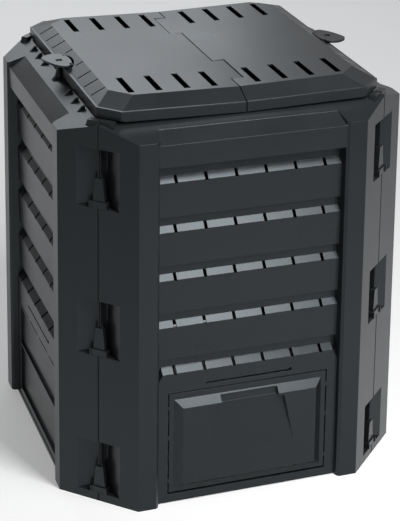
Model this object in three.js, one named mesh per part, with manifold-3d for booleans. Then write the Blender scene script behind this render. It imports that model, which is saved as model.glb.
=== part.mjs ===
// Compost bin with a two-part lid. Millimetres, +Z up, the front faces -Y.
// Four click-together wall shells, twelve wedge clips, two lid halves with their latches
// and two emptying flaps. The origin is the middle of the footprint, on the ground.

import * as THREE from 'three';
import { mergeVertices } from 'three/addons/utils/BufferGeometryUtils.js';
import Module from 'manifold-3d';

const wasm = await Module();
wasm.setup();

// Driving dimensions

// Whole body
const bodyWidth = 719;
const skin = 3;
const leanIn = 16;
const shoulderHeight = 764;
const shoulderAngle = 19.3;
const cornerLeg = 127;
const seamFlange = 20;
const seamGap = 0.4;
const rimLip = 18;
const overrun = 5;
const clearance = 0.3;

// Louvred panel between the two columns of a wall
const columnWide = 36.5;
const edgeBevel = 5.5;
const edgeBevelDepth = 5;
const revealSlant = 6.5;
const bandDepth = 28.5;
const slatDepth = 18.5;
const slatLean = 1.5;
const fasciaDepth = 3;
const fasciaBelowShoulder = 7;
const fasciaTall = 43;
const fasciaLean = 1.5;
const recessSlopeDepth = 39;
const slatCount = 5;
const lowestLedge = 286;
const topBandTall = 25;
const ledgeRise = 11;
const bandTall = 19;
const apronDepth = 15;
const apronCornerWide = 9;
const apronCornerTall = 18;

// Vent slots in each ledge, and the long slit over the flap
const ventColumns = 6;
const ventMargin = 42.5;
const ventWidth = 6;
const ventDrop = 2.5;
const slitHalf = 88;
const slitHeight = 4;
const slitAboveDoorway = 12;
const slitEye = 7;

// Flap opening of the front and rear walls
const doorwayMargin = 28;
const doorwayBottom = 18;
const doorwayTall = 226;
const jambReach = 14;
const flapGap = 2.5;
const flapFootGap = 5;
const flapHeadGap = 2;
const flapAxisBehind = 6.4;
const flapAxisRise = 6;
const flapPin = 3;
const flapEarWide = 6;
const flapEarBack = 5.5;

// Raised field of the flap, its finger notch and its scoop
const flapRim = 9.5;
const flapRimHigh = 12.5;
const fieldBevelSide = 16;
const fieldBevelLow = 13;
const fieldBevelHigh = 16;
const fieldProud = 12;
const notchHalf = 60;
const notchBelowField = 3.5;
const notchTall = 17;
const scoopTall = 105;
const scoopHalfTop = 72;
const scoopHalfBottom = 94;
const scoopDeep = 11.5;
const lugHigh = 9;
const lugShares = [0.12, 0.56, 0.86];
const flapInsetShare = 1 / 3;

// Blank hatch of the side walls
const hatchMargin = 34;
const hatchSink = 5.5;
const hatchBottom = 20;
const hatchTall = 201;
const hatchRib = 4;
const hatchRibRiseShare = 0.55;
const dashCount = 4;
const dashInset = 4;
const dashBridge = 12;
const dashHigh = 3;
const dashAboveHatch = 6;

// Corner pockets, mating ribs and clips
const pocketCount = 3;
const pocketTopMargin = 22;
const lowestPocket = 18;
const pocketTall = 116;
const pocketHalf = 48;
const pocketDeep = 19;
const pocketLandHalf = 11;
const ribTall = 64;
const ribNeck = 2.6;
const ribHeadTop = 4.6;
const ribHeadBottom = 10.6;
const ribHeadThick = 3;
const clipFront = 2.5;
const clipWall = 3;
const clipLip = 3;
const clipTall = 57;
const clipFoot = 1;
const clipHalfTop = 8;
const clipHalfBottom = 14.5;

// Raised pads on the body's corners, beside the seams, and lid stops on the side walls
const padFront = 8;
const padBack = 22;
const padLong = 38;
const padLongTop = 27;
const padNotch = 5;
const padTopSink = 0.8;
const stopCount = 3;
const stopThick = 4.5;
const stopOuter = 50;
const stopInner = 65.5;
const stopFlat = 5;
const stopHigh = 5.5;

// Lid halves
const lidOverhangX = 14.3;
const lidOverhangY = 28.8;
const lidBevelX = 34.5;
const lidBevelY = 41.5;
const lidCornerCut = 37;
const lidLap = 1.2;
const lidSkirt = 19.5;
const lidLedge = 3.5;
const lidLedgeRise = 0.4;
const lidCrown = 16.5;
const lidSag = 5;
const lidSkin = 3;
const lidSeam = 2;
const tongueReach = 24;
const tongueLong = 110;
const tongueFromHinge = 16;
const slotColumns = 4;
const slotFirst = 43;
const slotSideMargin = 38;
const slotWide = 12;
const slotEndMargin = 13.5;
const slotLong = 86;
const borderSlotEndMargin = 96;
const borderSlotCount = 3;
const borderSlotWide = 4;
const borderSlotStart = 2;
const borderSlotMargin = 8.5;
const borderSlotShortLong = 11;
const borderSlotShortY = 40;
const restRibThick = 3;
const restRibReach = 11;
const restRibFirst = 70;
const restRibSecond = 190;
const stiffenerDeep = 6;
const stiffenerEndMargin = 5.5;
const stiffenerInner = 36;

// Lid hinge
const hingeX = 14;
const hingeSink = 7;
const hingeMargin = 1.5;
const spindle = 3;
const spindleLong = 15;
const uprightThick = 14;
const uprightHalf = 3.5;
const bracketFootSink = 11;
const bracketFootThick = 9;
const knuckleWall = 3.2;
const knuckleMouth = 5;
const knuckleEnd = 0.6;

// Lid latches
const latchAxisInset = 14.5;
const latchAxisSink = 1;
const latchPin = 2;
const latchBarrel = 4;
const leafRise = 10;
const leafThick = 4;
const leafOverhang = 32.5;
const leafHalf = 40;
const leafTipShift = 12;
const leafFullness = 14;
const leafBulge = 6;
const leafNeckHalf = 24;
const eyeOverhang = 3.5;
const eyeSide = 12;
const pegSide = 7.5;
const pegSink = 2;
const notchInset = 1.5;
const notchReach = 22;
const notchHalfLong = 44.5;
const notchFloorRise = 1;
const leafMargin = 4.5;
const skirtSlotHalf = 9.5;
const latchRibGap = 2;
const latchRibThick = 6;
const latchRibDeep = 6.5;
const latchRibRoot = 7;
const latchRibMargin = 9;
const postNeck = 5;
const postFoot = 14.5;
const postFlare = 9;

const plastic = { color: 0x2f3234, roughness: 0.42, metalness: 0 };
const lidPlastic = { color: 0x34373a, roughness: 0.4, metalness: 0 };

// Derived sizes

// Body: taper, rim and the spacing of what is in each wall
const bodyHalf = bodyWidth / 2;
const leanPerHeight = leanIn / bodyHalf / shoulderHeight;
const taperAt = (z) => 1 - leanPerHeight * z;
const slope = Math.tan(THREE.MathUtils.degToRad(shoulderAngle));
const rimDepth = cornerLeg / 2 + seamFlange;
const rimZ = shoulderHeight + rimDepth * slope;
const rimHalf = (bodyHalf - rimDepth) * taperAt(rimZ);
const panelHalf = bodyHalf - cornerLeg - columnWide;
const fasciaTop = shoulderHeight - fasciaBelowShoulder;
const fasciaDrip = fasciaTop - fasciaTall;
const slatPitch = (fasciaDrip - topBandTall - ledgeRise - lowestLedge) / (slatCount - 1);
const ventPitch = (2 * (panelHalf - ventMargin)) / (ventColumns - 1);
const revealHalf = panelHalf - edgeBevel - revealSlant;
const revealDepth = bandDepth + skin + overrun;
const revealShare = (apronDepth - edgeBevelDepth) / (revealDepth - edgeBevelDepth);
const apronHalf = panelHalf - edgeBevel - revealSlant * revealShare;
const apronCornerSlant = apronCornerTall / apronCornerWide;
const ledgeSlope = ledgeRise / (bandDepth - apronDepth);
const pocketRoom = shoulderHeight - pocketTopMargin - pocketTall - lowestPocket;
const pocketPitch = pocketRoom / (pocketCount - 1);

// Flap and hatch
const doorwayHalf = panelHalf - doorwayMargin;
const doorwayTop = doorwayBottom + doorwayTall;
const slitZ = doorwayTop + slitAboveDoorway;
const flapHalf = doorwayHalf - flapGap;
const flapBottom = doorwayBottom + flapFootGap;
const flapTop = doorwayTop - flapHeadGap;
const flapAxisDepth = apronDepth + flapAxisBehind;
const flapAxisZ = flapBottom + flapAxisRise;
const fieldHalfBase = flapHalf - flapRim;
const fieldHalfFace = fieldHalfBase - fieldBevelSide;
const fieldBaseLow = flapBottom + flapRim;
const fieldBaseHigh = flapTop - flapRimHigh;
const fieldFaceLow = fieldBaseLow + fieldBevelLow;
const fieldFaceHigh = fieldBaseHigh - fieldBevelHigh;
const notchTop = fieldBaseHigh - notchBelowField;
const scoopTop = notchTop - notchTall;
const scoopBottom = scoopTop - scoopTall;
const hatchHalf = panelHalf - hatchMargin;
const hatchTop = hatchBottom + hatchTall;
const hatchRibZ = hatchBottom + hatchTall * hatchRibRiseShare;
const dashLong = (2 * (hatchHalf - dashInset) - (dashCount - 1) * dashBridge) / dashCount;
const dashZ = hatchTop + dashAboveHatch;

// Lid, set on the body's rim
const lidHalfX = rimHalf + lidOverhangX;
const lidHalfY = rimHalf + lidOverhangY;
const lidTopHalfX = lidHalfX - lidBevelX;
const lidTopHalfY = lidHalfY - lidBevelY;
const lidUnder = rimZ - lidLap;
const lidEdgeZ = lidUnder + lidSkirt;
const lidTopZ = lidEdgeZ + lidCrown;
const slotPitch = (lidTopHalfX - slotSideMargin - slotFirst) / (slotColumns - 1);
const slotFar = lidTopHalfY - slotEndMargin;
const slotNear = slotFar - slotLong;
const borderSlotPitch = (lidHalfY - borderSlotEndMargin) / (borderSlotCount + 1);
const borderSlotInner = lidTopHalfX + borderSlotStart;
const borderSlotOuter = lidHalfX - borderSlotMargin;
const restRibInner = rimHalf - restRibReach;
const stiffenerX = slotFirst + (slotPitch * (slotColumns - 1)) / 2;
const stiffenerHalf = lidTopHalfY - stiffenerEndMargin;

// Hinge brackets and lid tongues
const hingeZ = lidTopZ - lidSag - hingeSink;
const spindleRoot = lidTopHalfY - hingeMargin - uprightThick;
const bracketFootTop = rimZ - bracketFootSink;
const tongueFar = spindleRoot - spindleLong - tongueFromHinge;
const tongueNear = tongueFar - tongueLong;

// Latches
const latchAxisX = lidHalfX - latchAxisInset;
const latchAxisZ = lidEdgeZ - latchAxisSink;
const leafTop = lidEdgeZ + leafRise;
const leafUnder = leafTop - leafThick;
const leafReach = lidHalfX + leafOverhang;
const leafNeckX = latchAxisX + latchBarrel;
const eyeX = lidHalfX + eyeOverhang;
const notchMiddle = lidHalfX - notchInset;
const notchFloor = lidEdgeZ + notchFloorRise;
const latchRibNear = leafNeckHalf + latchRibGap;
const latchRibFar = latchRibNear + latchRibThick;
const latchRibInner = lidTopHalfX - latchRibRoot;
const latchRibOuter = lidHalfX - latchRibMargin;
const latchRibUnder = latchAxisZ - latchRibDeep;

// Solids

const ground = 0;
const circleSteps = 20;
const mergeReach = 1e-4;

const toSolid = (geometry) => {
  const bare = new THREE.BufferGeometry();
  bare.setAttribute('position', geometry.getAttribute('position'));
  if (geometry.index) bare.setIndex(geometry.index);
  const merged = mergeVertices(bare, mergeReach);
  return new wasm.Manifold(new wasm.Mesh({
    numProp: 3,
    vertProperties: new Float32Array(merged.getAttribute('position').array),
    triVerts: new Uint32Array(merged.index.array),
  }));
};

const toGeometry = (solid, warp) => {
  const mesh = solid.getMesh();
  const geometry = new THREE.BufferGeometry();
  const points = new Float32Array(mesh.vertProperties);
  if (warp) {
    for (let i = 0; i < points.length; i += 3) {
      const moved = warp(points[i], points[i + 1], points[i + 2]);
      points.set(moved, i);
    }
  }
  geometry.setAttribute('position', new THREE.BufferAttribute(points, 3));
  geometry.setIndex(new THREE.BufferAttribute(new Uint32Array(mesh.triVerts), 1));
  geometry.computeVertexNormals();
  return geometry;
};

const joinAll = (solids) => solids.reduce((sum, solid) => sum.add(solid));
const cutAll = (solid, cutters) => cutters.reduce((rest, cutter) => rest.subtract(cutter), solid);

// A prism along one axis. Its outline is written in the two axes that follow in X, Y, Z order:
// [y, z] for x, [z, x] for y and [x, y] for z.
const prism = (axis, outline, from, to) => {
  const shape = new THREE.Shape(outline.map(([a, b]) => new THREE.Vector2(a, b)));
  const geometry = new THREE.ExtrudeGeometry(shape, { depth: to - from, bevelEnabled: false });
  geometry.translate(0, 0, from);
  const [x, y, z] = [new THREE.Vector3(1, 0, 0), new THREE.Vector3(0, 1, 0), new THREE.Vector3(0, 0, 1)];
  const turns = { x: [y, z, x], y: [z, x, y], z: [x, y, z] };
  return toSolid(geometry.applyMatrix4(new THREE.Matrix4().makeBasis(...turns[axis])));
};

const block = ([x0, x1], [y0, y1], [z0, z1]) => {
  const geometry = new THREE.BoxGeometry(x1 - x0, y1 - y0, z1 - z0);
  geometry.translate((x0 + x1) / 2, (y0 + y1) / 2, (z0 + z1) / 2);
  return toSolid(geometry);
};

const rod = (axis, radius, centre, from, to) => {
  const outline = [];
  for (let i = 0; i < circleSteps; i += 1) {
    const turn = (i / circleSteps) * 2 * Math.PI;
    outline.push([centre[0] + radius * Math.cos(turn), centre[1] + radius * Math.sin(turn)]);
  }
  return prism(axis, outline, from, to);
};

// A closed skin over two or more rings of as many points, flat at both ends.
const loft = (rings) => {
  const count = rings[0].length;
  const positions = rings.flat(2);
  const faces = [];
  for (let r = 0; r + 1 < rings.length; r += 1) {
    for (let i = 0; i < count; i += 1) {
      const a = r * count + i;
      const b = r * count + ((i + 1) % count);
      faces.push(a, b, b + count, a, b + count, a + count);
    }
  }
  const last = (rings.length - 1) * count;
  for (let i = 1; i + 1 < count; i += 1) {
    faces.push(0, i + 1, i, last, last + i, last + i + 1);
  }
  const geometry = new THREE.BufferGeometry();
  geometry.setAttribute('position', new THREE.Float32BufferAttribute(positions, 3));
  geometry.setIndex(faces);
  return toSolid(geometry);
};

const mirrorPlan = (half) => [...half.map(([a, b]) => [-a, b]).reverse(), ...half];
const turned = (solid, quarter) => toGeometry(solid).rotateZ((quarter * Math.PI) / 2);

// Body frame: every wall is drawn as the front wall, with straight sides. `lean` then tapers it
// towards the top, as all four walls lean inwards.

const skinDrop = skin * Math.hypot(1, slope);
const lean = (x, y, z) => [x * taperAt(z), y * taperAt(z), z];
const behind = (depth) => depth - bodyHalf;
const slopeZ = (depth) => shoulderHeight + depth * slope;

// Half plan of the wall, from the middle outwards: column plane, chamfer wing, seam plane.
const wallPlan = (inset, seamInset, depthEnd) => {
  const chamferAt = (depth) => bodyHalf - cornerLeg + depth - inset * Math.SQRT2;
  const seamAt = (depth) => bodyHalf - depth - (seamGap / 2 + seamInset) * Math.SQRT2;
  const meet = (seamAt(0) - chamferAt(0)) / 2;
  return mirrorPlan([
    [chamferAt(inset), behind(inset)],
    [chamferAt(meet), behind(meet)],
    [seamAt(depthEnd), behind(depthEnd)],
  ]);
};

const wallEnvelope = () => {
  const plan = prism('z', wallPlan(0, 0, rimDepth), ground, rimZ + overrun);
  const section = prism('x', [
    [behind(0), ground],
    [behind(rimDepth), ground],
    [behind(rimDepth), rimZ],
    [behind(0), shoulderHeight],
  ], -bodyHalf, bodyHalf);
  return plan.intersect(section);
};

const wallHollow = () => {
  const plan = prism('z', wallPlan(skin, skin, rimDepth + overrun), -overrun, rimZ);
  const section = prism('x', [
    [behind(skin), -overrun],
    [behind(rimDepth + overrun), -overrun],
    [behind(rimDepth + overrun), rimZ - rimLip],
    [behind(rimDepth - skin), rimZ - rimLip],
    [behind(rimDepth - skin), slopeZ(rimDepth - skin) - skinDrop],
    [behind(skin), slopeZ(skin) - skinDrop],
  ], -bodyHalf, bodyHalf);
  return plan.intersect(section);
};

// Louvre section, from the ground up, as [depth, z] points. A grown section lies one wall
// thickness further in, and its ledges are lowered so that they keep that thickness.
const ledgeZ = (row) => lowestLedge + row * slatPitch;
const recessSlope = (slopeZ(recessSlopeDepth) - fasciaTop) / (recessSlopeDepth - fasciaDepth);
const louvreSection = (grow) => {
  const points = [[apronDepth + grow, -overrun]];
  for (let row = 0; row < slatCount; row += 1) {
    const topRow = row === slatCount - 1;
    const foot = row === 0 ? apronDepth : slatDepth;
    const run = bandDepth - foot;
    const tuck = (grow * (Math.hypot(run, ledgeRise) - ledgeRise)) / run;
    const dripZ = topRow ? fasciaDrip : ledgeZ(row) + ledgeRise + bandTall;
    const dripDepth = topRow ? fasciaDepth + fasciaLean : slatDepth + slatLean;
    points.push(
      [foot + grow, ledgeZ(row) - tuck],
      [bandDepth + grow, ledgeZ(row) + ledgeRise - tuck],
      [bandDepth + grow, dripZ + grow],
      [dripDepth + grow, dripZ + grow],
    );
  }
  const recessDrop = grow * Math.hypot(1, recessSlope);
  const slopeDrop = grow * Math.hypot(1, slope);
  const meetDepth = recessSlopeDepth + (recessDrop - slopeDrop) / (recessSlope - slope);
  points.push(
    [fasciaDepth + grow, fasciaTop + grow * recessSlope - recessDrop],
    [meetDepth, slopeZ(meetDepth) - slopeDrop],
    [meetDepth, rimZ + overrun],
    [-overrun, rimZ + overrun],
    [-overrun, -overrun],
  );
  return points.map(([depth, z]) => [behind(depth), z]);
};

// The apron's upper corners are cut off slantwise, and the lowest ledge runs down into the cuts.
const apronCorner = (side, grow) => {
  const edge = apronHalf - apronCornerWide - grow * Math.hypot(1, 1 / apronCornerSlant);
  const far = panelHalf + overrun;
  const ring = (depth) => {
    const z = ledgeZ(0) + (depth - apronDepth) * ledgeSlope;
    const points = [
      [side * (edge - skin / apronCornerSlant), behind(depth), z + skin],
      [side * far, behind(depth), z + skin],
      [side * far, behind(depth), z - (far - edge) * apronCornerSlant],
    ];
    return side > 0 ? points : points.reverse();
  };
  return loft([ring(apronDepth - overrun), ring(bandDepth + grow)]);
};

// The space in front of the louvres, between the columns.
const recess = (grow) => {
  const plan = prism('z', mirrorPlan([
    [panelHalf + grow, behind(-overrun)],
    [panelHalf + grow, behind(0)],
    [panelHalf - edgeBevel + grow, behind(edgeBevelDepth)],
    [revealHalf + grow, behind(revealDepth)],
  ]), -overrun - grow, rimZ + overrun + grow);
  const section = joinAll([
    prism('x', louvreSection(grow), -bodyHalf, bodyHalf),
    apronCorner(-1, grow),
    apronCorner(1, grow),
  ]);
  return plan.intersect(section);
};

// Corner frame: u runs along the chamfer, n into the body, both from the seam line.
const seamMiddle = bodyHalf - cornerLeg / 2;
const cornerPoint = (u, n, side) => [
  side * (seamMiddle + (u - n) * Math.SQRT1_2),
  -seamMiddle + (u + n) * Math.SQRT1_2,
];
const pocketZ = (row) => lowestPocket + row * pocketPitch;
const rows = (count) => Array.from({ length: count }, (_, row) => row);

const pocket = (row, side, grow) => {
  const half = [
    [pocketLandHalf + grow / 2, pocketDeep + grow],
    [pocketHalf + grow, 0],
    [pocketHalf + grow, -overrun],
  ];
  const outline = mirrorPlan(half).map(([u, n]) => cornerPoint(u, n, side));
  return prism('z', outline, pocketZ(row) - grow, pocketZ(row) + pocketTall + grow);
};

// Half of the T-shaped mating rib that a wall carries in a pocket. Its head widens downwards, and
// its neck guides the clip from the top of the pocket.
const ribHeadFront = clipFront + clipWall + clearance;
const ribHeadBack = ribHeadFront + ribHeadThick;
const ribHeadHalf = (above) => ribHeadBottom + ((ribHeadTop - ribHeadBottom) * above) / ribTall;
const cornerSlab = (from, to, halfLow, halfHigh, front, back, side, inner) => {
  const ring = (half, z) => [[inner, front], [half, front], [half, back], [inner, back]]
    .map(([u, n]) => [...cornerPoint(u, n, side), z]);
  const rings = [ring(halfLow, from), ring(halfHigh, to)];
  return loft(side * (halfLow - inner) > 0 ? rings : rings.map((points) => points.reverse()));
};
const matingRib = (row, side) => {
  const foot = pocketZ(row) - skin / 2;
  const top = pocketZ(row) + ribTall;
  const edge = -seamGap / 2;
  const neckTop = pocketZ(row) + pocketTall + skin / 2;
  const headLow = ribHeadHalf(-skin / 2);
  return joinAll([
    cornerSlab(foot, top, -headLow, -ribHeadHalf(ribTall), ribHeadFront, ribHeadBack, side, edge),
    cornerSlab(foot, neckTop, -ribNeck, -ribNeck, ribHeadFront, pocketDeep + skin / 2, side, edge),
  ]);
};

// What stands on the rim slope is cut off in the middle of the skin below it.
const onSlope = (solid) => solid.subtract(prism('x', [
  [behind(-overrun), ground],
  [behind(rimDepth), ground],
  [behind(rimDepth), slopeZ(rimDepth) - skinDrop / 2],
  [behind(-overrun), slopeZ(-overrun) - skinDrop / 2],
], -bodyHalf, bodyHalf));

const cornerPad = (side) => onSlope(cornerSlab(shoulderHeight, rimZ - padTopSink,
  -padLong, -padLongTop, padFront, padBack, side, -padNotch / 2));

// A low fin under the lid's side border, one below each long border slot.
const lidStop = (x) => {
  const top = slopeZ(stopInner) + stopHigh;
  return onSlope(prism('x', [
    [behind(stopOuter), shoulderHeight],
    [behind(stopInner), shoulderHeight],
    [behind(stopInner), top],
    [behind(stopInner - stopFlat), top],
    [behind(stopOuter), slopeZ(stopOuter)],
  ], x - stopThick / 2, x + stopThick / 2));
};

const louvreVents = () => rows(slatCount).flatMap((row) => rows(ventColumns).map((column) => {
  const x = (column - (ventColumns - 1) / 2) * ventPitch;
  return block(
    [x - ventWidth / 2, x + ventWidth / 2],
    [behind(apronDepth - overrun), behind(bandDepth + skin + overrun)],
    [ledgeZ(row) - ventDrop, ledgeZ(row) + ledgeRise],
  );
}));

const slitCutter = () => {
  const radius = slitHeight / 2;
  const span = [behind(apronDepth - overrun), behind(apronDepth + skin + overrun)];
  return joinAll([
    block([-slitHalf, slitHalf], span, [slitZ - radius, slitZ + radius]),
    rod('y', radius, [slitZ, -slitHalf], ...span),
    rod('y', slitEye / 2, [slitZ + slitEye / 4, slitHalf], ...span),
  ]);
};

// A wall without what its middle carries: a flap opening or a blank hatch.
const plainWall = () => {
  const sides = [-1, 1];
  const pockets = (grow) => sides.flatMap((side) => (
    rows(pocketCount).map((row) => pocket(row, side, grow))));
  const outside = cutAll(wallEnvelope().subtract(recess(0)), pockets(0));
  const inside = cutAll(wallHollow().subtract(recess(skin)), pockets(skin));
  const ribs = sides.flatMap((side) => rows(pocketCount).map((row) => matingRib(row, side)));
  const shell = joinAll([outside.subtract(inside), ...ribs, ...sides.map(cornerPad)]);
  return cutAll(shell, [...louvreVents(), slitCutter()]);
};

// Flap opening with its jambs, and the bearing holes for the flap's pins.
const openDoorway = (wall) => {
  const deep = [behind(apronDepth), behind(apronDepth + jambReach)];
  const through = [behind(apronDepth - overrun), behind(apronDepth + jambReach + overrun)];
  const frameHalf = doorwayHalf + skin;
  const frame = block([-frameHalf, frameHalf], deep, [doorwayBottom - skin, doorwayTop + skin]);
  const hole = block([-doorwayHalf, doorwayHalf], through, [doorwayBottom, doorwayTop]);
  const bearings = rod('x', flapPin + clearance, [behind(flapAxisDepth), flapAxisZ],
    -frameHalf - overrun, frameHalf + overrun);
  return wall.add(frame).subtract(hole).subtract(bearings);
};

// Blank hatch: a sunk field with one rib and a dashed slit along its top edge.
const closeHatch = (wall) => {
  const floor = apronDepth + hatchSink;
  const field = (grow) => block(
    [-hatchHalf - grow, hatchHalf + grow],
    [behind(apronDepth - overrun), behind(floor + grow)],
    [hatchBottom - grow, hatchTop + grow],
  );
  const rib = block([-hatchHalf - skin, hatchHalf + skin], [behind(apronDepth), behind(floor + skin / 2)],
    [hatchRibZ - hatchRib / 2, hatchRibZ + hatchRib / 2]);
  const back = block([-hatchHalf - skin, hatchHalf + skin],
    [behind(apronDepth), behind(floor + skin)], [hatchBottom - skin, hatchTop + skin]);
  const dashes = rows(dashCount).map((index) => {
    const x = (index - (dashCount - 1) / 2) * (dashLong + dashBridge);
    return block([x - dashLong / 2, x + dashLong / 2],
      [behind(apronDepth - overrun), behind(apronDepth + skin + overrun)],
      [dashZ - dashHigh / 2, dashZ + dashHigh / 2]);
  });
  const stops = [-1, 1].flatMap((side) => rows(stopCount).map((row) => (
    lidStop(side * (row + 2) * borderSlotPitch))));
  return cutAll(joinAll([wall, back, ...stops]).subtract(field(0)).add(rib), dashes);
};

// Bracket under the lid: two uprights with a spindle each, moulded on the wall's inner rim.
const hingeBracket = () => {
  const footHalf = hingeX + uprightHalf + skin;
  const footZ = [bracketFootTop - bracketFootThick, bracketFootTop];
  const foot = block([-footHalf, footHalf], [-rimHalf - skin / 2, -spindleRoot], footZ);
  const posts = [-1, 1].flatMap((side) => {
    const x = side * hingeX;
    const span = [-spindleRoot - uprightThick, -spindleRoot];
    return [
      block([x - uprightHalf, x + uprightHalf], span, [bracketFootTop - skin, hingeZ]),
      rod('y', uprightHalf, [hingeZ, x], ...span),
      rod('y', spindle, [hingeZ, x], -spindleRoot - skin, spindleLong - spindleRoot),
    ];
  });
  return joinAll([foot, ...posts]);
};

// Post for the lid latch, on the rim slope of a side wall. Drawn at the front, where the side
// walls are drawn too: the lid edge it serves is lidHalfX from the middle.
const latchPost = () => {
  const slopeAt = (y) => {
    let depth = bodyHalf - y;
    for (let step = 0; step < circleSteps; step += 1) depth = bodyHalf - y / taperAt(slopeZ(depth));
    return slopeZ(depth);
  };
  const shoulder = leafUnder - clearance;
  const footZ = slopeAt(eyeX + postFoot) - skin;
  const flareZ = slopeAt(eyeX);
  const profile = [
    new THREE.Vector2(0, footZ),
    new THREE.Vector2(postFoot, footZ),
    new THREE.Vector2(postFoot, flareZ - skin),
    new THREE.Vector2(postFlare, flareZ + skin),
    new THREE.Vector2(postNeck, (flareZ + shoulder) / 2),
    new THREE.Vector2(postNeck, shoulder),
    new THREE.Vector2(0, shoulder),
  ];
  const lathe = new THREE.LatheGeometry(profile, circleSteps);
  lathe.rotateX(Math.PI / 2);
  lathe.translate(0, -eyeX, 0);
  const half = pegSide / 2;
  const peg = block([-half, half], [-eyeX - half, half - eyeX], [shoulder - skin, leafTop - pegSink]);
  const outerY = eyeX + 2 * postFoot;
  const innerY = eyeX - 2 * postFoot;
  const underside = prism('x', [
    [-outerY, footZ - overrun],
    [-innerY, footZ - overrun],
    [-innerY, slopeAt(innerY) - skin / 2],
    [-outerY, slopeAt(outerY) - skin / 2],
  ], -2 * postFoot, 2 * postFoot);
  return toSolid(lathe).subtract(underside).add(peg);
};

// Clip: a tapered channel that wraps both halves of a T-rib.
const clip = (row) => {
  const foot = pocketZ(row) + clipFoot;
  const top = foot + clipTall;
  const back = ribHeadBack + clearance + clipLip;
  const past = (z) => ribHeadHalf(z - pocketZ(row)) + clearance;
  const slab = (from, to, low, high, front, rear) => (
    cornerSlab(from, to, low, high, front, rear, 1, 0).add(
      cornerSlab(from, to, -low, -high, front, rear, 1, 0)));
  const shell = slab(foot, top, clipHalfBottom, clipHalfTop, clipFront, back);
  const lowEnd = foot - overrun;
  const highEnd = top + overrun;
  const head = slab(lowEnd, highEnd, past(lowEnd), past(highEnd),
    ribHeadFront - clearance, ribHeadBack + clearance);
  const neckHalf = ribNeck + clearance;
  const neck = slab(lowEnd, highEnd, neckHalf, neckHalf, ribHeadBack, back + overrun);
  return shell.subtract(head).subtract(neck);
};

// Lid

const octagon = (halfX, halfY, cut, z) => [
  [halfX - cut, -halfY, z],
  [halfX, cut - halfY, z],
  [halfX, halfY - cut, z],
  [halfX - cut, halfY, z],
  [cut - halfX, halfY, z],
  [-halfX, halfY - cut, z],
  [-halfX, cut - halfY, z],
  [cut - halfX, -halfY, z],
];

// Each lid half slopes down a little towards the middle, where its hinge is.
const lidSlope = (x, y, z) => [x, y, z - lidSag * (1 + x / lidTopHalfX)];
const sagging = (solid) => toSolid(toGeometry(solid, lidSlope));

// Whole lid shape, and the same shape one thickness in, with its border kept parallel.
const lidRise = lidTopZ - lidEdgeZ;
const lidOutside = () => loft([
  octagon(lidHalfX, lidHalfY, lidCornerCut, lidUnder),
  octagon(lidHalfX, lidHalfY, lidCornerCut, lidEdgeZ),
  octagon(lidHalfX - lidLedge, lidHalfY - lidLedge, lidCornerCut, lidEdgeZ + lidLedgeRise),
  octagon(lidTopHalfX, lidTopHalfY, lidCornerCut, lidTopZ),
]);
const lidInside = () => {
  const innerTop = (half, topHalf) => {
    const run = half - topHalf;
    const drop = (lidSkin * Math.hypot(run, lidRise)) / run;
    return half - ((lidRise - lidSkin + drop) * run) / lidRise;
  };
  const run = lidHalfX - lidTopHalfX;
  const edgeDrop = (lidSkin * (Math.hypot(run, lidRise) - lidRise)) / run;
  const cut = lidCornerCut - lidSkin * (2 - Math.SQRT2);
  const rim = (z) => octagon(lidHalfX - lidSkin, lidHalfY - lidSkin, cut, z);
  return loft([
    rim(lidUnder - overrun),
    rim(lidEdgeZ - edgeDrop),
    octagon(innerTop(lidHalfX, lidTopHalfX), innerTop(lidHalfY, lidTopHalfY), cut, lidTopZ - lidSkin),
  ]);
};

// The left half's share of the plan: its tongue reaches over the middle at the front, and it
// leaves room for the other half's tongue at the rear.
const leftShare = () => {
  const edge = -lidSeam / 2;
  const far = lidHalfX + lidHalfY;
  return prism('z', [
    [-far, -far],
    [edge, -far],
    [edge, lidSeam / 2 - tongueFar],
    [tongueReach + edge, lidSeam / 2 - tongueFar],
    [tongueReach + edge, edge - tongueNear],
    [edge, edge - tongueNear],
    [edge, tongueNear + edge],
    [edge - tongueReach, tongueNear + edge],
    [edge - tongueReach, tongueFar - edge],
    [edge, tongueFar - edge],
    [edge, far],
    [-far, far],
  ], lidUnder - lidSag - overrun, lidTopZ + overrun);
};

const stadiumX = (y, from, to, half, zSpan) => joinAll([
  block([from, to], [y - half, y + half], zSpan),
  rod('z', half, [from, y], ...zSpan),
  rod('z', half, [to, y], ...zSpan),
]);

const lidSlots = () => {
  const zSpan = [lidEdgeZ - overrun, lidTopZ + overrun];
  const top = rows(slotColumns).flatMap((column) => [-1, 1].map((side) => {
    const x = -slotFirst - column * slotPitch;
    const ends = [side * slotNear, side * slotFar].sort((a, b) => a - b);
    return block([x - slotWide / 2, x + slotWide / 2], ends, zSpan);
  }));
  const half = borderSlotWide / 2;
  const border = [-1, 1].flatMap((side) => [
    stadiumX(side * borderSlotShortY, -borderSlotInner - borderSlotShortLong, -borderSlotInner, half, zSpan),
    ...rows(borderSlotCount).map((row) => (
      stadiumX(side * (row + 2) * borderSlotPitch, -borderSlotOuter, -borderSlotInner, half, zSpan))),
  ]);
  return [...top, ...border];
};

const ellipseOutline = (centreX, reach, halfLong) => {
  const outline = [];
  for (let i = 0; i <= circleSteps; i += 1) {
    const turn = (i / circleSteps - 1 / 2) * Math.PI;
    outline.push([centreX + reach * Math.cos(turn), halfLong * Math.sin(turn)]);
  }
  return outline;
};

// The skirt stands a little higher at the corners, over the highest spots of the body's rim.
const cornerReliefs = () => [-1, 1].map((side) => {
  const reach = lidCornerCut + 2 * lidSkin;
  const outline = [
    [-lidHalfX - overrun, side * (lidHalfY + overrun)],
    [-lidHalfX - overrun, side * (lidHalfY - reach - overrun)],
    [reach + overrun - lidHalfX, side * (lidHalfY + overrun)],
  ];
  return prism('z', outline, lidUnder - overrun, rimZ + clearance);
});

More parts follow.
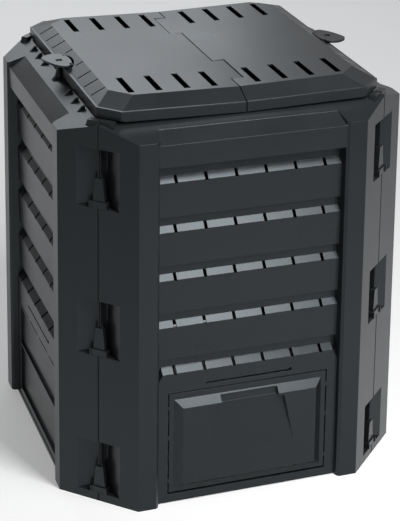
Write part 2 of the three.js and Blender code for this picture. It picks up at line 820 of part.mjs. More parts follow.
const latchRibs = () => [-1, 1].map((side) => block(
  [-latchRibOuter, -latchRibInner],
  [side * latchRibNear, side * latchRibFar].sort((a, b) => a - b),
  [latchRibUnder, lidTopZ],
));

const hingeKnuckle = (side) => {
  const root = spindleRoot - knuckleEnd;
  const span = [side * root, side * (root - spindleLong + 2 * knuckleEnd)].sort((a, b) => a - b);
  const outer = rod('y', spindle + clearance + knuckleWall, [hingeZ, -hingeX], ...span);
  const bore = rod('y', spindle + clearance, [hingeZ, -hingeX], span[0] - overrun, span[1] + overrun);
  const mouth = block([-hingeX - knuckleMouth / 2, knuckleMouth / 2 - hingeX], span,
    [hingeZ - 2 * spindle - knuckleWall, hingeZ]);
  return outer.subtract(bore).subtract(mouth);
};

const leftLid = () => {
  const outside = sagging(lidOutside());
  const half = restRibThick / 2;
  const restRibs = [-restRibSecond, -restRibFirst, restRibFirst, restRibSecond].map((y) => block(
    [-lidHalfX, -restRibInner], [y - half, y + half], [rimZ + clearance, lidTopZ]));
  const stiffeners = [
    block([-stiffenerX - half, half - stiffenerX], [-stiffenerHalf, stiffenerHalf],
      [lidTopZ - lidSkin - stiffenerDeep, lidTopZ]),
    block([-restRibInner, -stiffenerInner], [-half, half],
      [lidTopZ - lidSkin - stiffenerDeep, lidTopZ]),
  ].map(sagging);
  const ribs = joinAll([...restRibs, ...stiffeners, ...latchRibs()]).intersect(outside);
  const shell = outside.subtract(sagging(lidInside())).intersect(leftShare());
  const knuckles = [-1, 1].map(hingeKnuckle);
  const latchNotch = prism('z', ellipseOutline(-notchMiddle, notchReach, notchHalfLong),
    notchFloor, lidTopZ + overrun);
  const skirtSlot = block([-lidHalfX - overrun, overrun - lidHalfX], [-skirtSlotHalf, skirtSlotHalf],
    [lidUnder - overrun, lidTopZ]);
  const pinHoles = rod('y', latchPin + clearance, [latchAxisZ, -latchAxisX],
    -latchRibFar - overrun, latchRibFar + overrun);
  return cutAll(joinAll([shell, ribs, ...knuckles]), [
    ...lidSlots(),
    ...cornerReliefs(),
    latchNotch,
    skirtSlot,
    pinHoles,
  ]);
};

// Latch: a leaf with a square eye, on a barrel with two pins.
const leftLatch = () => {
  const inner = ellipseOutline(-notchMiddle, notchReach - leafMargin, leafHalf);
  const curve = new THREE.CubicBezierCurve(
    new THREE.Vector2(-notchMiddle, leafHalf),
    new THREE.Vector2(-notchMiddle - leafFullness, leafHalf + leafTipShift / 2),
    new THREE.Vector2(-leafReach - leafBulge, leafTipShift + leafHalf / 2),
    new THREE.Vector2(-leafReach, leafTipShift),
  );
  const back = new THREE.CubicBezierCurve(
    new THREE.Vector2(-leafReach, leafTipShift),
    new THREE.Vector2(leafBulge - leafReach, leafTipShift - leafHalf / 2),
    new THREE.Vector2(-notchMiddle - leafFullness, -leafHalf),
    new THREE.Vector2(-notchMiddle, -leafHalf),
  );
  const steps = circleSteps / 2;
  const outer = [...curve.getPoints(steps).slice(1), ...back.getPoints(steps).slice(1, -1)];
  const plate = prism('z', [...inner, ...outer.map((point) => [point.x, point.y])], leafUnder, leafTop);
  const half = eyeSide / 2;
  const eye = block([-eyeX - half, half - eyeX], [-half, half], [leafUnder - overrun, leafTop + overrun]);
  const trims = [[-leafHalf - overrun, -leafNeckHalf], [leafNeckHalf, leafHalf + overrun]].map((span) => (
    block([-leafNeckX, 0], span, [leafUnder - overrun, leafTop + overrun])));
  const web = block([-latchAxisX - latchBarrel, latchBarrel - latchAxisX],
    [-leafNeckHalf, leafNeckHalf], [latchAxisZ, leafUnder + clearance]);
  const barrel = rod('y', latchBarrel, [latchAxisZ, -latchAxisX], -leafNeckHalf, leafNeckHalf);
  const pins = rod('y', latchPin, [latchAxisZ, -latchAxisX], -latchRibFar, latchRibFar);
  return joinAll([cutAll(plate, [eye, ...trims]), web, barrel, pins]);
};

// Flap, drawn in the front wall's body frame

const rectangleRing = (half, low, high, depth) => [
  [-half, behind(depth), low],
  [half, behind(depth), low],
  [half, behind(depth), high],
  [-half, behind(depth), high],
];

const flapField = (inset) => {
  const edge = inset * flapInsetShare;
  const faceDepth = apronDepth - fieldProud + inset;
  const base = [fieldHalfBase - edge, fieldBaseLow + edge, fieldBaseHigh - edge];
  const face = [fieldHalfFace - edge, fieldFaceLow + edge, fieldFaceHigh - edge];
  const rootDepth = apronDepth + inset;
  const backDepth = apronDepth + skin + (inset > 0 ? overrun : 0);
  return loft([
    rectangleRing(...base, backDepth),
    rectangleRing(...base, rootDepth),
    rectangleRing(...face, faceDepth),
  ]);
};

const fingerNotch = (grow) => block(
  [-notchHalf - grow, notchHalf + grow],
  [behind(-overrun), behind(apronDepth + grow)],
  [scoopTop - grow, notchTop + grow],
);

const scoop = (grow) => {
  const faceDepth = apronDepth - fieldProud;
  const plan = prism('y', [
    [scoopBottom - grow, -scoopHalfBottom - grow],
    [scoopTop + grow, -scoopHalfTop - grow],
    [scoopTop + grow, scoopHalfTop + grow],
    [scoopBottom - grow, scoopHalfBottom + grow],
  ], behind(-overrun), behind(apronDepth + skin + overrun));
  const ramp = prism('x', [
    [behind(-overrun), scoopBottom - grow],
    [behind(faceDepth + grow), scoopBottom - grow],
    [behind(faceDepth + scoopDeep + grow), scoopTop + grow],
    [behind(-overrun), scoopTop + grow],
  ], -bodyHalf, bodyHalf);
  return plan.intersect(ramp);
};

const frontFlap = () => {
  const plateSpan = [behind(apronDepth), behind(apronDepth + skin)];
  const plate = block([-flapHalf, flapHalf], plateSpan, [flapBottom, flapTop]);
  const outside = cutAll(joinAll([plate, flapField(0)]), [fingerNotch(0), scoop(0)]);
  const inside = cutAll(flapField(skin), [fingerNotch(skin), scoop(skin)]);
  const axis = [behind(flapAxisDepth), flapAxisZ];
  const hinges = [-1, 1].flatMap((side) => {
    const span = (from, to) => [side * from, side * to].sort((a, b) => a - b);
    const earOut = flapHalf - flapGap;
    return [
      block(span(earOut - flapEarWide, earOut),
        [behind(apronDepth + skin / 2), behind(flapAxisDepth + flapEarBack)],
        [flapBottom + clearance, flapAxisZ + flapEarBack]),
      rod('x', flapPin, axis, ...span(earOut - flapEarWide / 2, doorwayHalf + skin + clearance)),
      ...lugShares.map((share) => {
        const z = flapBottom + share * (flapTop - flapBottom);
        return block(span(flapHalf - skin, doorwayHalf - clearance), plateSpan,
          [z - lugHigh / 2, z + lugHigh / 2]);
      }),
    ];
  });
  return joinAll([outside.subtract(inside), ...hinges]);
};

// Assembly

const bin = new THREE.Group();

const place = (name, geometry, look) => {
  const mesh = new THREE.Mesh(geometry, new THREE.MeshStandardMaterial(look));
  mesh.name = name;
  bin.add(mesh);
};

const sideNames = ['front', 'right', 'rear', 'left'];
const plain = plainWall();
const doorWall = openDoorway(plain);
const hatchWall = closeHatch(plain);
const leanSolid = (solid) => toSolid(toGeometry(solid, lean));
const finishedDoorWall = leanSolid(doorWall).add(hingeBracket());
const finishedHatchWall = leanSolid(hatchWall).add(latchPost());
const flap = leanSolid(frontFlap());
const clips = rows(pocketCount).map((row) => leanSolid(clip(row)));

sideNames.forEach((side, quarter) => {
  const facesDoor = quarter % 2 === 0;
  const wall = facesDoor ? finishedDoorWall : finishedHatchWall;
  place(`wall_${side}`, turned(wall, quarter), plastic);
  if (facesDoor) place(`flap_${side}`, turned(flap, quarter), plastic);
  const next = sideNames[(quarter + 1) % sideNames.length];
  clips.forEach((solid, row) => {
    place(`clip_${side}_${next}_${row + 1}`, turned(solid, quarter), plastic);
  });
});

[['left', 0], ['right', 2]].forEach(([side, quarter]) => {
  place(`lid_${side}`, turned(leftLid(), quarter), lidPlastic);
  place(`latch_${side}`, turned(leftLatch(), quarter), lidPlastic);
});

export default bin;
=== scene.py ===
"""Garden compost bin with a split lid: moulded finish, studio and camera.

The measured solids are loaded first. Each operator dresses one group of
mouldings, adds one group of small pieces, or sets the stage, and main() calls
them in order.
"""
import math

import bmesh
import bpy
from mathutils import Matrix, Vector


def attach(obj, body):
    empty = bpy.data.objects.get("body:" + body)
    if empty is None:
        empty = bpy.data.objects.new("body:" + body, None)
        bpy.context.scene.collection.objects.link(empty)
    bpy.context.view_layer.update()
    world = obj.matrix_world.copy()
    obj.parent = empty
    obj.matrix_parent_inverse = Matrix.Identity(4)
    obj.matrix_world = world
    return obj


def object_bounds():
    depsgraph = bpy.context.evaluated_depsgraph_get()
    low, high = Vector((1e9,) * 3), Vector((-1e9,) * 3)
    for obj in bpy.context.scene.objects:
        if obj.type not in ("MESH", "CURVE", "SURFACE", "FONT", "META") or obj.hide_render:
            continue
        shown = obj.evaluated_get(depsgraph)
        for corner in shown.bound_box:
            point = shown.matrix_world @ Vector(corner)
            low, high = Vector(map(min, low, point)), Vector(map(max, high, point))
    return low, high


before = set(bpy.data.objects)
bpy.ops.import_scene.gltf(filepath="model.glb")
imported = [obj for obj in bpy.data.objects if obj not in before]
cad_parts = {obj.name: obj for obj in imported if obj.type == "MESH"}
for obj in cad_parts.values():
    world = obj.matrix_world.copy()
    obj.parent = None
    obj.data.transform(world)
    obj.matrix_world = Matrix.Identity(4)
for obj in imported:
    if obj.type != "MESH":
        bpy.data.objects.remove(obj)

bl_info = {
    "name": "Compost bin finish",
    "version": (1, 0, 0),
    "blender": (4, 5, 0),
    "location": "View3D > Sidebar > Compost bin",
    "description": "Dresses the solids of a garden compost bin and sets a studio round it",
    "category": "Object",
}

MEASURED_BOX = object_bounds()

# The walls, the two ways along each axis, and the corners with their ways
SIDES = ("front", "right", "rear", "left")
ENDS = {-1: "front", 1: "rear"}
HANDS = {-1: "left", 1: "right"}
CORNERS = (
    ("front_right", 1, -1),
    ("right_rear", 1, 1),
    ("rear_left", -1, 1),
    ("left_front", -1, -1),
)

# Colours of sockets
WHITE = (1.0, 1.0, 1.0, 1.0)
NEAR_BLACK = (0.02, 0.02, 0.02, 1.0)
MID_GREY = (0.3, 0.3, 0.3, 1.0)

# Plastic: pairs go from where an effect starts to where it is full
SPECULAR_LEVEL = 0.34
ROUNDING_SAMPLES = 6
GRAIN_DETAIL = 2.0
CLOUD_DETAIL = 3.0
CLOUD_SPAN = (0.3, 0.7)  # value of the cloud noise
CLOUD_ROUGHNESS = (-0.02, 0.02)  # added to the roughness
CLOUD_TINT = (0.92, 1.08)  # brightness of the colour
DUST_SPAN = (0.25, 1.0)  # upward part of the normal
WEAR_SPAN = (0.998, 0.93)  # agreement of the true and the rounded normal
SEAM_PAINTED_SHADE = 0.1  # brightness of the painted shade at the bottom of a corner seam
SEAM_ROUGHNESS = 0.9  # roughness at the bottom of a corner seam

# Lips that put the lid's slots in shade
LIP_TAPER = 0.6  # thickness of the low edge, as a share of the root's
LIP_EDGE_PARTS = 5  # lip thickness over the width of its bevelled edges
LIP_EDGE_STEPS = 2

# Stage
SKY_SPAN = (0.25, 0.75)  # upward part of the direction, from horizon to overhead
SENSOR_WIDTH = 36.0


def finish_settings():
    """Settings of the mouldings and of the small pieces."""
    return bpy.context.scene.bin_finish


def stage_settings():
    """Settings of the floor, the lamps and the camera."""
    return bpy.context.scene.bin_stage


class BinFinishSettings(bpy.types.PropertyGroup):
    """Colours and surface of the mouldings, and sizes of the lips, tongues and collars"""

    body_colour: bpy.props.FloatVectorProperty(
        name="Body plastic",
        description="Colour of the walls, clips and flaps",
        subtype="COLOR",
        size=3,
        min=0.0,
        max=1.0,
        default=(0.0095, 0.0112, 0.0124),
    )
    lid_colour: bpy.props.FloatVectorProperty(
        name="Lid plastic",
        description="Colour of the two lid halves and their latches",
        subtype="COLOR",
        size=3,
        min=0.0,
        max=1.0,
        default=(0.0105, 0.0122, 0.0140),
    )
    roughness: bpy.props.FloatProperty(
        name="Roughness",
        description="Roughness of the moulded skin",
        default=0.29,
        min=0.05,
        max=1.0,
        subtype="FACTOR",
    )
    gloss_tint: bpy.props.FloatVectorProperty(
        name="Gloss tint",
        description="Cool tint of the gloss",
        subtype="COLOR",
        size=3,
        min=0.0,
        max=1.0,
        default=(0.84, 0.94, 1.0),
    )
    edge_radius: bpy.props.FloatProperty(
        name="Edge radius",
        description="Rounding of the outer edges of a moulding",
        default=0.0011,
        min=0.0,
        max=0.003,
        precision=4,
        subtype="DISTANCE",
        unit="LENGTH",
    )
    edge_wear: bpy.props.FloatProperty(
        name="Edge wear",
        description="How much paler the rubbed edges are",
        default=0.35,
        min=0.0,
        max=1.0,
        subtype="FACTOR",
    )
    grain_size: bpy.props.FloatProperty(
        name="Grain size",
        description="Width of one speck of the moulded grain",
        default=0.0016,
        min=0.0002,
        max=0.01,
        precision=4,
        subtype="DISTANCE",
        unit="LENGTH",
    )
    grain_depth: bpy.props.FloatProperty(
        name="Grain depth",
        description="Height of the moulded grain",
        default=0.00001,
        min=0.0,
        max=0.0005,
        precision=5,
        subtype="DISTANCE",
        unit="LENGTH",
    )
    flow_size: bpy.props.FloatProperty(
        name="Flow mark size",
        description="Width of the soft clouds that the melt leaves in the skin",
        default=0.16,
        min=0.01,
        max=1.0,
        subtype="DISTANCE",
        unit="LENGTH",
    )
    dust: bpy.props.FloatProperty(
        name="Dust",
        description="Share of fine pale dust on faces that look up",
        default=0.06,
        min=0.0,
        max=1.0,
        subtype="FACTOR",
    )
    dust_colour: bpy.props.FloatVectorProperty(
        name="Dust colour",
        description="Colour of the fine dust",
        subtype="COLOR",
        size=3,
        min=0.0,
        max=1.0,
        default=(0.30, 0.31, 0.32),
    )
    seam_width: bpy.props.FloatProperty(
        name="Seam width",
        description="Half the width of the rounded groove where two walls meet at a corner",
        default=0.0042,
        min=0.0005,
        precision=4,
        subtype="DISTANCE",
        unit="LENGTH",
    )
    seam_depth: bpy.props.FloatProperty(
        name="Seam depth",
        description="Depth of the rounded groove where two walls meet at a corner",
        default=0.003,
        min=0.0,
        precision=4,
        subtype="DISTANCE",
        unit="LENGTH",
    )
    lip_drop: bpy.props.FloatProperty(
        name="Lip drop",
        description="Lowest edge of the lid's slot shading lips above the ground",
        default=0.7905,
        precision=4,
        subtype="DISTANCE",
        unit="LENGTH",
    )
    lip_roots: bpy.props.FloatVectorProperty(
        name="Lip roots",
        description="Height of a lip's root in the lid's skin at the seam, its bend and its end",
        default=(0.8190, 0.8228, 0.8172),
        precision=4,
        subtype="TRANSLATION",
        unit="LENGTH",
    )
    lip_reach: bpy.props.FloatVectorProperty(
        name="Lip reach",
        description="Distance of a lip's start, bend and end from the middle of the bin",
        default=(0.002, 0.205, 0.243),
        precision=4,
        subtype="TRANSLATION",
        unit="LENGTH",
    )
    lip_out: bpy.props.FloatProperty(
        name="Lip place",
        description="Distance of a lip from the middle of the bin, front and rear",
        default=0.2572,
        precision=4,
        subtype="DISTANCE",
        unit="LENGTH",
    )
    lip_thick: bpy.props.FloatProperty(
        name="Lip thickness",
        description="Thickness of a lip at its root",
        default=0.0026,
        precision=4,
        subtype="DISTANCE",
        unit="LENGTH",
    )
    tongue_span: bpy.props.FloatVectorProperty(
        name="Tongue span",
        description="Heights of the foot and the head of a seam tongue",
        size=2,
        default=(0.001, 0.788),
        precision=4,
        subtype="TRANSLATION",
        unit="LENGTH",
    )
    tongue_reach: bpy.props.FloatVectorProperty(
        name="Tongue reach",
        description="Distance of a tongue's foot and head from the middle of the bin, both ways",
        size=2,
        default=(0.2783, 0.2655),
        precision=4,
        subtype="TRANSLATION",
        unit="LENGTH",
    )
    tongue_size: bpy.props.FloatVectorProperty(
        name="Tongue size",
        description="Depth of a tongue into the bin, and its thickness",
        size=2,
        default=(0.005, 0.0006),
        precision=4,
        subtype="TRANSLATION",
        unit="LENGTH",
    )
    collar_size: bpy.props.FloatVectorProperty(
        name="Collar size",
        description="Width of a clip's collar, its depth into the pocket and its height",
        default=(0.037, 0.0105, 0.013),
        precision=4,
        subtype="TRANSLATION",
        unit="LENGTH",
    )
    collar_wall: bpy.props.FloatProperty(
        name="Collar wall",
        description="Thickness of a clip's collar",
        default=0.0023,
        precision=4,
        subtype="DISTANCE",
        unit="LENGTH",
    )
    collar_feet: bpy.props.FloatVectorProperty(
        name="Collar feet",
        description="Heights of the three collars at each corner",
        default=(0.0181, 0.3221, 0.6261),
        precision=4,
        subtype="TRANSLATION",
        unit="LENGTH",
    )
    corner_reach: bpy.props.FloatProperty(
        name="Corner reach",
        description="Distance of a bevelled corner's middle from the middle of the bin, both ways",
        default=0.296,
        precision=4,
        subtype="DISTANCE",
        unit="LENGTH",
    )
    wall_lean: bpy.props.FloatProperty(
        name="Wall lean",
        description="Share by which the plan of the bin shrinks over one metre of height",
        default=0.05825,
        precision=5,
    )


class BinStageSettings(bpy.types.PropertyGroup):
    """Floor, surrounding light, lamps and camera"""

    floor_colour: bpy.props.FloatVectorProperty(
        name="Floor colour",
        description="Colour of the floor",
        subtype="COLOR",
        size=3,
        min=0.0,
        max=1.0,
        default=(0.8, 0.8, 0.8),
    )
    floor_span: bpy.props.FloatProperty(
        name="Floor span",
        description="Side of the square floor",
        default=60.0,
        subtype="DISTANCE",
        unit="LENGTH",
    )
    floor_lift: bpy.props.FloatProperty(
        name="Floor lift",
        description="How much of white the floor adds to what the camera and gloss see of it",
        default=0.28,
        min=0.0,
        max=1.0,
        subtype="FACTOR",
    )
    wall_foot: bpy.props.FloatProperty(
        name="Wall foot",
        description="Thickness of a wall's foot, inside which the floor gets no lift",
        default=0.012,
        subtype="DISTANCE",
        unit="LENGTH",
    )
    corner_leg: bpy.props.FloatProperty(
        name="Corner leg",
        description="Length that each bevelled corner takes from the side of the footprint",
        default=0.127,
        subtype="DISTANCE",
        unit="LENGTH",
    )
    sky_low: bpy.props.FloatProperty(
        name="Sky at the horizon",
        description="Strength of the surrounding light near the horizon",
        default=0.34,
        min=0.0,
        max=4.0,
    )
    sky_high: bpy.props.FloatProperty(
        name="Sky overhead",
        description="Strength of the surrounding light overhead",
        default=0.08,
        min=0.0,
        max=4.0,
    )
    key_power: bpy.props.FloatProperty(
        name="Key lamp",
        description="Power of the softbox above the front right",
        default=53.0,
        min=0.0,
        subtype="POWER",
        unit="POWER",
    )
    key_place: bpy.props.FloatVectorProperty(
        name="Key place",
        description="Middle of the front right softbox",
        subtype="TRANSLATION",
        unit="LENGTH",
        default=(0.42, -1.36, 2.05),
    )
    key_size: bpy.props.FloatVectorProperty(
        name="Key size",
        description="Width and height of the front right softbox",
        subtype="TRANSLATION",
        unit="LENGTH",
        size=2,
        default=(0.74, 1.5),
    )
    key_colour: bpy.props.FloatVectorProperty(
        name="Key colour",
        description="Colour of the front right softbox",
        subtype="COLOR",
        size=3,
        min=0.0,
        max=1.0,
        default=(1.0, 1.0, 1.0),
    )
    back_power: bpy.props.FloatProperty(
        name="Back lamp",
        description="Power of the broad softbox behind the bin",
        default=36.0,
        min=0.0,
        subtype="POWER",
        unit="POWER",
    )
    back_place: bpy.props.FloatVectorProperty(
        name="Back place",
        description="Middle of the softbox behind",
        subtype="TRANSLATION",
        unit="LENGTH",
        default=(0.3, 3.6, 2.9),
    )
    back_size: bpy.props.FloatVectorProperty(
        name="Back size",
        description="Width and height of the softbox behind",
        subtype="TRANSLATION",
        unit="LENGTH",
        size=2,
        default=(2.4, 2.4),
    )
    back_colour: bpy.props.FloatVectorProperty(
        name="Back colour",
        description="Colour of the softbox behind",
        subtype="COLOR",
        size=3,
        min=0.0,
        max=1.0,
        default=(0.90, 0.955, 1.0),
    )
    aim: bpy.props.FloatVectorProperty(
        name="Aim",
        description="Point that the camera looks at",
        subtype="TRANSLATION",
        unit="LENGTH",
        default=(-0.01274, -0.07539, 0.38933),
    )
    azimuth: bpy.props.FloatProperty(
        name="Azimuth",
        description="Turn of the camera round the bin, from the front towards the right",
        default=math.radians(-19.107),
        subtype="ANGLE",
        unit="ROTATION",
    )
    elevation: bpy.props.FloatProperty(
        name="Elevation",
        description="Height of the camera over the horizon",
        default=math.radians(25.064),
        subtype="ANGLE",
        unit="ROTATION",
    )
    roll: bpy.props.FloatProperty(
        name="Roll",
        description="Turn of the camera about its line of sight",
        default=math.radians(0.746),
        subtype="ANGLE",
        unit="ROTATION",
    )
    distance: bpy.props.FloatProperty(
        name="Distance",
        description="Distance of the camera from the aim",
        default=3.39246,
        subtype="DISTANCE",
        unit="LENGTH",
    )
    lens: bpy.props.FloatProperty(
        name="Lens",
        description="Focal length for a 36 mm sensor",
        default=114.02,
        subtype="DISTANCE_CAMERA",
        unit="CAMERA",
    )


# Nodes

def new_node(tree, kind, **settings):
    """Adds a node and sets what is given by name."""
    node = tree.nodes.new(kind)
    for key, value in settings.items():
        setattr(node, key, value)
    return node


def map_range(tree, start=(0.0, 1.0), end=(0.0, 1.0), **settings):
    """Adds a node that maps the span from one value to the other of start to that of end."""
    node = new_node(tree, "ShaderNodeMapRange", **settings)
    for key, value in zip(("From Min", "From Max", "To Min", "To Max"), (*start, *end)):
        node.inputs[key].default_value = value
    return node


def place_group(tree, group):
    """Adds a node that holds the group."""
    return new_node(tree, "ShaderNodeGroup", node_tree=group)


def new_group(name, takes, gives):
    """Starts a node group: its inputs and outputs, each with its kind, and its end nodes."""
    tree = bpy.data.node_groups.new(name, "ShaderNodeTree")
    for way, sockets in (("INPUT", takes), ("OUTPUT", gives)):
        for label, kind, *default in sockets:
            socket = tree.interface.new_socket(
                name=label, in_out=way, socket_type=f"NodeSocket{kind}"
            )
            if default:
                socket.default_value = default[0]
    return tree, new_node(tree, "NodeGroupInput"), new_node(tree, "NodeGroupOutput")


def new_material(name):
    """Starts a material with nothing but its output node."""
    material = bpy.data.materials.new(name)
    material.use_nodes = True
    tree = material.node_tree
    tree.nodes.clear()
    return material, tree, new_node(tree, "ShaderNodeOutputMaterial")


# Plastic

def moulded_grain_group():
    """Grain height and roughness of a moulded skin, with soft flow clouds."""
    found = bpy.data.node_groups.get("moulded grain")
    if found:
        return found
    tree, given, result = new_group(
        "moulded grain",
        takes=(
            ("Place", "Vector"),
            ("Grain Scale", "Float", 600.0),
            ("Cloud Scale", "Float", 6.0),
            ("Roughness", "Float", 0.4),
        ),
        gives=(("Height", "Float"), ("Roughness", "Float"), ("Clouds", "Float")),
    )
    grain = new_node(tree, "ShaderNodeTexNoise")
    grain.inputs["Detail"].default_value = GRAIN_DETAIL
    clouds = new_node(tree, "ShaderNodeTexNoise")
    clouds.inputs["Detail"].default_value = CLOUD_DETAIL
    spread = map_range(tree, CLOUD_SPAN, CLOUD_ROUGHNESS)
    total = new_node(tree, "ShaderNodeMath", operation="ADD", use_clamp=True)
    link = tree.links.new
    link(given.outputs["Place"], grain.inputs["Vector"])
    link(given.outputs["Grain Scale"], grain.inputs["Scale"])
    link(given.outputs["Place"], clouds.inputs["Vector"])
    link(given.outputs["Cloud Scale"], clouds.inputs["Scale"])
    link(clouds.outputs["Fac"], spread.inputs["Value"])
    link(spread.outputs["Result"], total.inputs[0])
    link(given.outputs["Roughness"], total.inputs[1])
    link(grain.outputs["Fac"], result.inputs["Height"])
    link(total.outputs["Value"], result.inputs["Roughness"])
    link(clouds.outputs["Fac"], result.inputs["Clouds"])
    return tree


def handled_skin_group():
    """Colour of a used moulding: clouds, rubbed edges and fine dust."""
    found = bpy.data.node_groups.get("handled skin")
    if found:
        return found
    tree, given, result = new_group(
        "handled skin",
        takes=(
            ("Colour", "Color", NEAR_BLACK),
            ("Clouds", "Float", 0.5),
            ("Wear", "Float", 0.3),
            ("Dust", "Float", 0.05),
            ("Dust Colour", "Color", MID_GREY),
            ("Rounded Normal", "Vector"),
        ),
        gives=(("Colour", "Color"),),
    )
    shape = new_node(tree, "ShaderNodeNewGeometry")
    upward = new_node(tree, "ShaderNodeSeparateXYZ")
    lying = map_range(tree, DUST_SPAN)
    dust = new_node(tree, "ShaderNodeMath", operation="MULTIPLY")
    patchy = new_node(tree, "ShaderNodeMath", operation="MULTIPLY")
    dusty = new_node(tree, "ShaderNodeMix", data_type="RGBA")
    tint = map_range(tree, CLOUD_SPAN, CLOUD_TINT)
    cloudy = new_node(tree, "ShaderNodeVectorMath", operation="SCALE")
    turn = new_node(tree, "ShaderNodeVectorMath", operation="DOT_PRODUCT")
    rub = map_range(tree, WEAR_SPAN)
    rubbed = new_node(tree, "ShaderNodeMath", operation="MULTIPLY_ADD")
    rubbed.inputs[2].default_value = 1.0
    worn = new_node(tree, "ShaderNodeVectorMath", operation="SCALE")
    link = tree.links.new
    link(shape.outputs["Normal"], upward.inputs["Vector"])
    link(upward.outputs["Z"], lying.inputs["Value"])
    link(lying.outputs["Result"], dust.inputs[0])
    link(given.outputs["Dust"], dust.inputs[1])
    link(dust.outputs["Value"], patchy.inputs[0])
    link(given.outputs["Clouds"], patchy.inputs[1])
    link(given.outputs["Clouds"], tint.inputs["Value"])
    link(given.outputs["Colour"], cloudy.inputs[0])
    link(tint.outputs["Result"], cloudy.inputs["Scale"])
    link(shape.outputs["True Normal"], turn.inputs[0])
    link(given.outputs["Rounded Normal"], turn.inputs[1])
    link(turn.outputs["Value"], rub.inputs["Value"])
    link(rub.outputs["Result"], rubbed.inputs[0])
    link(given.outputs["Wear"], rubbed.inputs[1])
    link(cloudy.outputs["Vector"], worn.inputs[0])
    link(rubbed.outputs["Value"], worn.inputs["Scale"])
    link(patchy.outputs["Value"], dusty.inputs["Factor"])
    link(worn.outputs["Vector"], dusty.inputs["A"])
    link(given.outputs["Dust Colour"], dusty.inputs["B"])
    link(dusty.outputs["Result"], result.inputs["Colour"])
    return tree


def seam_groove_and_shade_group():
    """Height and roughness of the rounded edges that meet at the corner seams, and their colour
    darkened there by painted shade.
    """
    found = bpy.data.node_groups.get("seam groove and shade")
    if found:
        return found
    tree, given, result = new_group(
        "seam groove and shade",
        takes=(
            ("Place", "Vector"),
            ("Colour", "Color", NEAR_BLACK),
            ("Roughness", "Float", 0.3),
            ("Half Width", "Float", 0.002),
        ),
        gives=(("Height", "Float"), ("Colour", "Color"), ("Roughness", "Float")),
    )
    reach = new_node(tree, "ShaderNodeVectorMath", operation="ABSOLUTE")
    axes = new_node(tree, "ShaderNodeSeparateXYZ")
    across = new_node(tree, "ShaderNodeMath", operation="SUBTRACT")
    aside = new_node(tree, "ShaderNodeMath", operation="ABSOLUTE")
    flat = map_range(tree, interpolation_type="SMOOTHSTEP")
    # Painted shade: the colour darkens towards the bottom of the seam
    painted_shade = map_range(tree, end=(SEAM_PAINTED_SHADE, 1.0))
    shaded_seam_colour = new_node(tree, "ShaderNodeVectorMath", operation="SCALE")
    rough = map_range(tree, end=(SEAM_ROUGHNESS, 1.0))
    link = tree.links.new
    link(given.outputs["Place"], reach.inputs[0])
    link(reach.outputs["Vector"], axes.inputs["Vector"])
    link(axes.outputs["X"], across.inputs[0])
    link(axes.outputs["Y"], across.inputs[1])
    link(across.outputs["Value"], aside.inputs[0])
    link(aside.outputs["Value"], flat.inputs["Value"])
    link(given.outputs["Half Width"], flat.inputs["From Max"])
    link(flat.outputs["Result"], painted_shade.inputs["Value"])
    link(flat.outputs["Result"], rough.inputs["Value"])
    link(given.outputs["Roughness"], rough.inputs["To Max"])
    link(given.outputs["Colour"], shaded_seam_colour.inputs[0])
    link(painted_shade.outputs["Result"], shaded_seam_colour.inputs["Scale"])
    link(flat.outputs["Result"], result.inputs["Height"])
    link(shaded_seam_colour.outputs["Vector"], result.inputs["Colour"])
    link(rough.outputs["Result"], result.inputs["Roughness"])
    return tree


